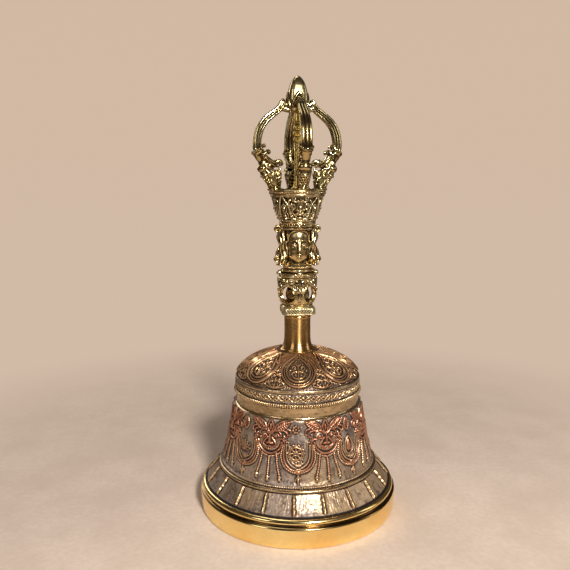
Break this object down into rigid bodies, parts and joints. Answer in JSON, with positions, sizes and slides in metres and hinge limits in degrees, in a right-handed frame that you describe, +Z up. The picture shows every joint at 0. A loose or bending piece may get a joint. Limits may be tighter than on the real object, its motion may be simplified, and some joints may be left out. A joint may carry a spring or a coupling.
{
  "type": "ritual hand bell",
  "caption": "Ritual hand bell with a flared relief-cast cup, a ferrule, openwork vase, crowned head and caged half-vajra handle, and a clapper on a link inside.",
  "frame": {"origin": "centre of the bell's mouth, in the plane it stands on", "axes": "+Z up along the handle, -Y the side that the face on the handle looks to, +X the object's left as seen by that face"},
  "size_m": [0.097, 0.097, 0.2063],
  "materials": {
    "bell_bronze": "dark patinated cast bronze with gold and copper worn relief, polished lip",
    "polished_brass": "polished",
    "cast_brass": "polished cast brass, dark in the recesses",
    "forged_iron": "dark oiled",
    "iron_wire": "dull drawn wire",
    "striker_brass": "turned, dulled by use"
  },
  "bodies": {
    "bell": {"bell_cup": "bell_bronze", "stem_ferrule": "polished_brass", "base_plinth": "cast_brass", "openwork_vase": "cast_brass", "lotus_collar": "cast_brass", "deity_head": "cast_brass", "crown": "cast_brass", "vajra_seat": "cast_brass", "vajra_finial": "cast_brass", "prong_right": "cast_brass", "prong_back": "cast_brass", "prong_left": "cast_brass", "prong_front": "cast_brass", "centre_spindle": "cast_brass", "tie_rod": "forged_iron", "crown_washer": "forged_iron", "crown_nut": "forged_iron"},
    "link": {"hanger_link": "iron_wire"},
    "clapper": {"clapper_shank": "forged_iron", "clapper_striker": "striker_brass"}
  },
  "joints": [
    {"name": "link_swing", "type": "hinge", "parent": "bell", "child": "link", "pos_m": [0, 0, 0.06166], "axis": [1, 0, 0], "range_deg": [-33.5, 33.5]},
    {"name": "clapper_sway", "type": "hinge", "parent": "link", "child": "clapper", "pos_m": [0, 0, 0.05252], "axis": [0, 1, 0], "range_deg": [-11, 11]}
  ]
}
